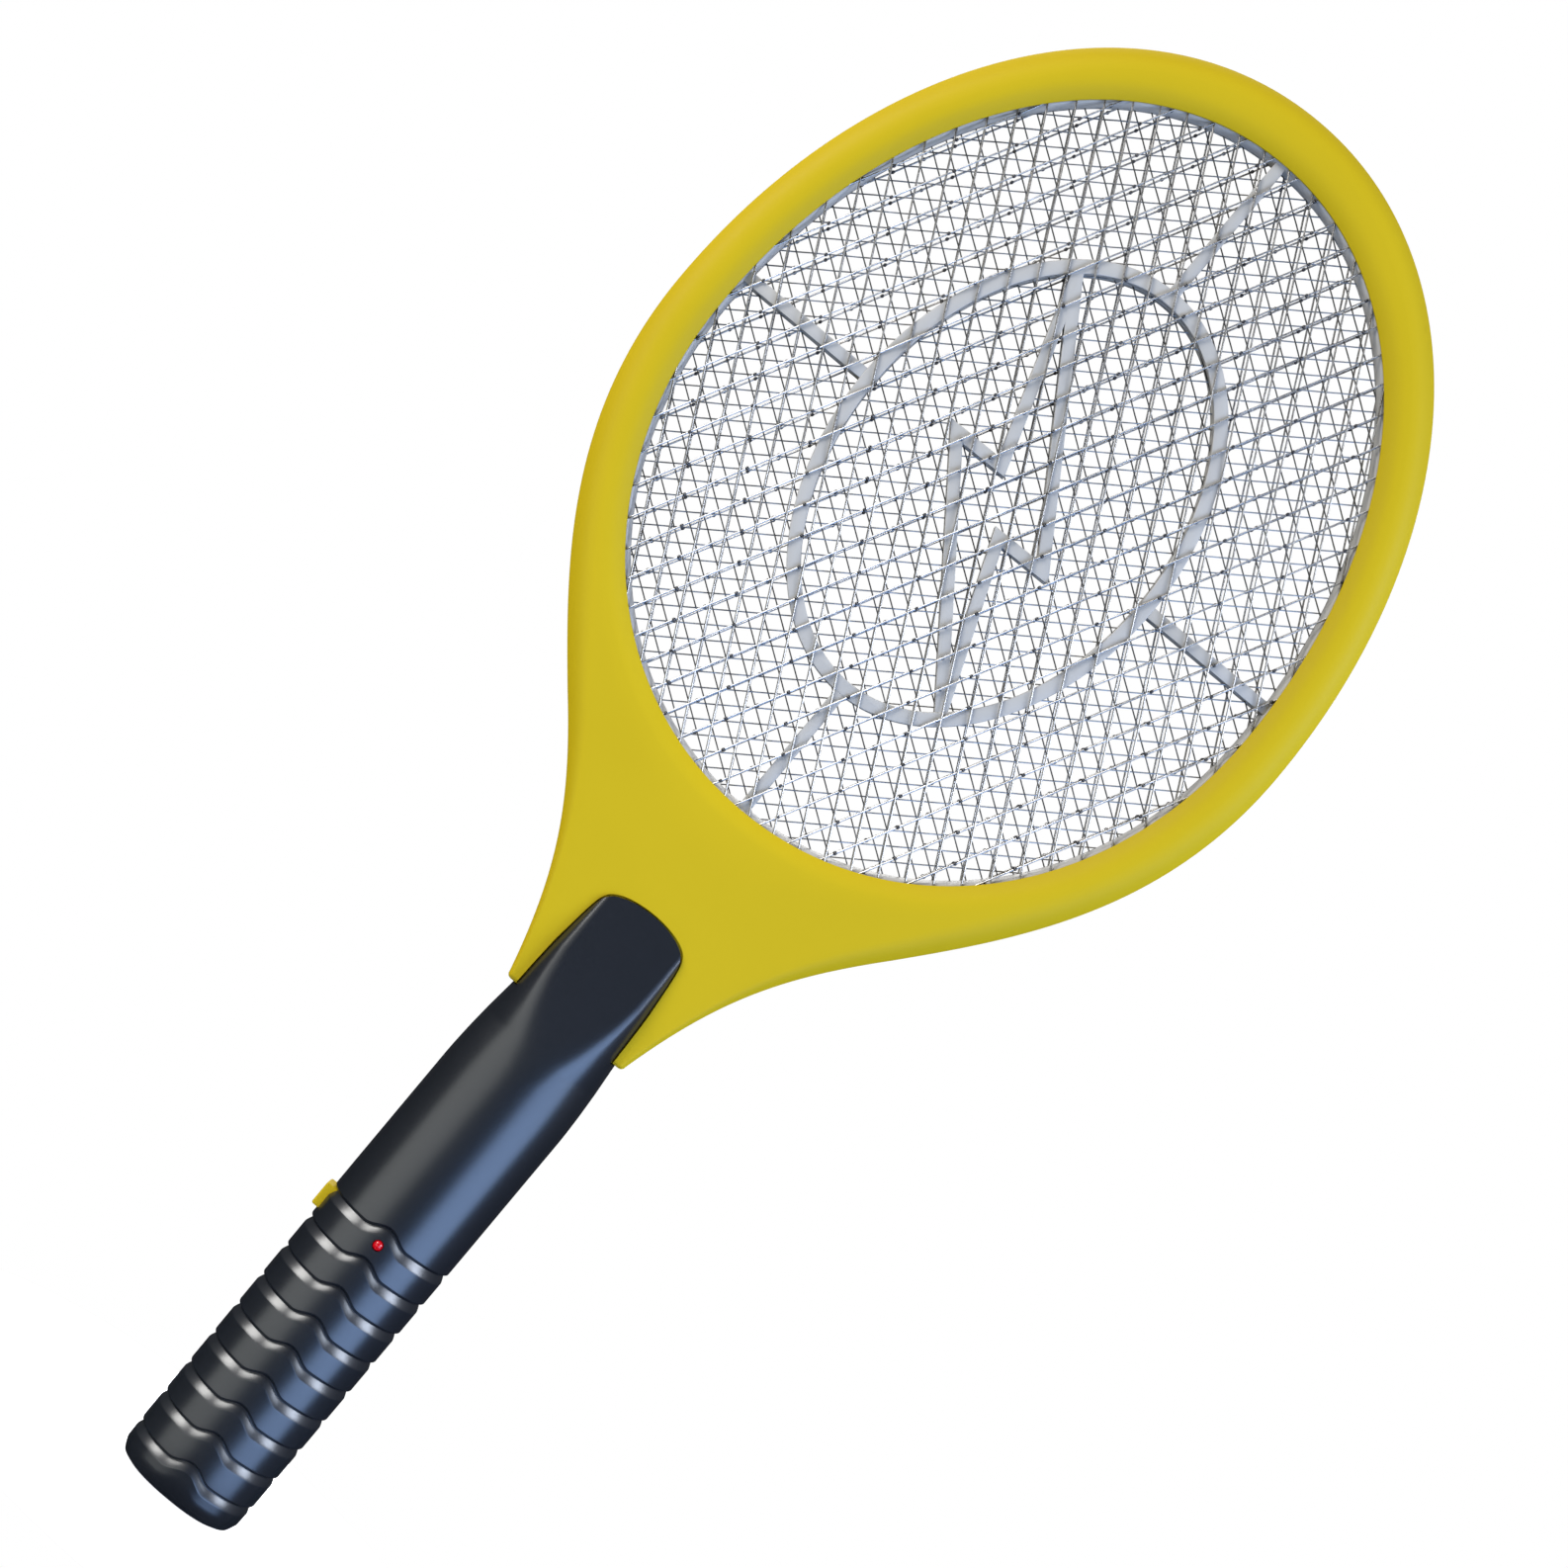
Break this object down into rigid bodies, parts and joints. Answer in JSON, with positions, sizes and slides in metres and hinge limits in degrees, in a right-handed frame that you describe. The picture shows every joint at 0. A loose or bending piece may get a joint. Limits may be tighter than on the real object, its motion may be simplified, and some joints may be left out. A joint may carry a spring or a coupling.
{
  "type": "electric fly swatter",
  "caption": "Racket-shaped battery fly swatter: oval yellow head with layered wire nets, grey ring frame with a bolt sign, dark ribbed handle with side button and lamp.",
  "frame": {"origin": "centre of the handle's flat end", "axes": "+Z along the handle to the tip of the head, -Y out of the face with the lamp, +X to the right of that face"},
  "size_m": [0.1988, 0.0304, 0.4556],
  "materials": {
    "yellow_plastic": "satin",
    "grey_plastic": "matt",
    "net_steel": "plain wire",
    "dark_plastic": "satin",
    "contact_steel": "plated",
    "screw_steel": "plated",
    "red_plastic": "satin",
    "black_plastic": "matt",
    "board": "solder mask",
    "red_lens": "clear tinted",
    "ferrite": "matt",
    "copper_wire": "enamelled copper",
    "ochre_coating": "dipped",
    "resistor_coating": "lacquered",
    "cell_sleeve": "printed sleeve, plain",
    "red_insulation": "plain",
    "black_insulation": "plain"
  },
  "bodies": {
    "racket": {"front_frame": "yellow_plastic", "rear_frame": "yellow_plastic", "front_spacer": "grey_plastic", "rear_spacer": "grey_plastic", "front_grid": "net_steel", "middle_mesh": "net_steel", "rear_grid": "net_steel", "handle_front": "dark_plastic", "handle_rear": "dark_plastic", "button_spring": "contact_steel", "switch_body": "black_plastic", "circuit_board": "board", "led": "red_lens", "transformer_core": "ferrite", "transformer_winding": "copper_wire", "storage_capacitor": "red_plastic", "multiplier_capacitor_1": "ochre_coating", "multiplier_capacitor_2": "ochre_coating", "rectifier_diode_1": "black_plastic", "rectifier_diode_2": "black_plastic", "rectifier_diode_3": "black_plastic", "bleed_resistor": "resistor_coating", "base_resistor": "resistor_coating", "transistor": "black_plastic", "battery_1": "cell_sleeve", "battery_2": "cell_sleeve", "battery_bridge": "contact_steel", "positive_contact": "contact_steel", "negative_contact": "contact_steel", "lower_battery_spring": "contact_steel", "upper_battery_spring": "contact_steel", "battery_lead_red": "red_insulation", "battery_lead_black": "black_insulation", "net_lead": "red_insulation", "front_grid_lead": "black_insulation", "rear_grid_lead": "black_insulation", "frame_screw_1": "screw_steel", "frame_screw_2": "screw_steel", "frame_screw_3": "screw_steel", "frame_screw_4": "screw_steel", "frame_screw_5": "screw_steel", "frame_screw_6": "screw_steel", "frame_screw_7": "screw_steel", "frame_screw_8": "screw_steel", "handle_screw_1": "screw_steel", "handle_screw_2": "screw_steel", "handle_screw_3": "screw_steel", "tongue_screw": "screw_steel"},
    "button": {"power_button": "yellow_plastic", "switch_plunger": "red_plastic"},
    "cover": {"battery_cover": "dark_plastic"}
  },
  "joints": [
    {"name": "button_press", "type": "slide", "parent": "racket", "child": "button", "axis": [1, 0, 0], "range_m": [0, 0.0016], "stiffness_N_per_m": 600, "springref_m": -0.001, "deforming": ["button_spring"]},
    {"name": "battery_cover_lift", "type": "slide", "parent": "racket", "child": "cover", "axis": [0, 1, 0], "range_m": [0, 0.025]}
  ]
}
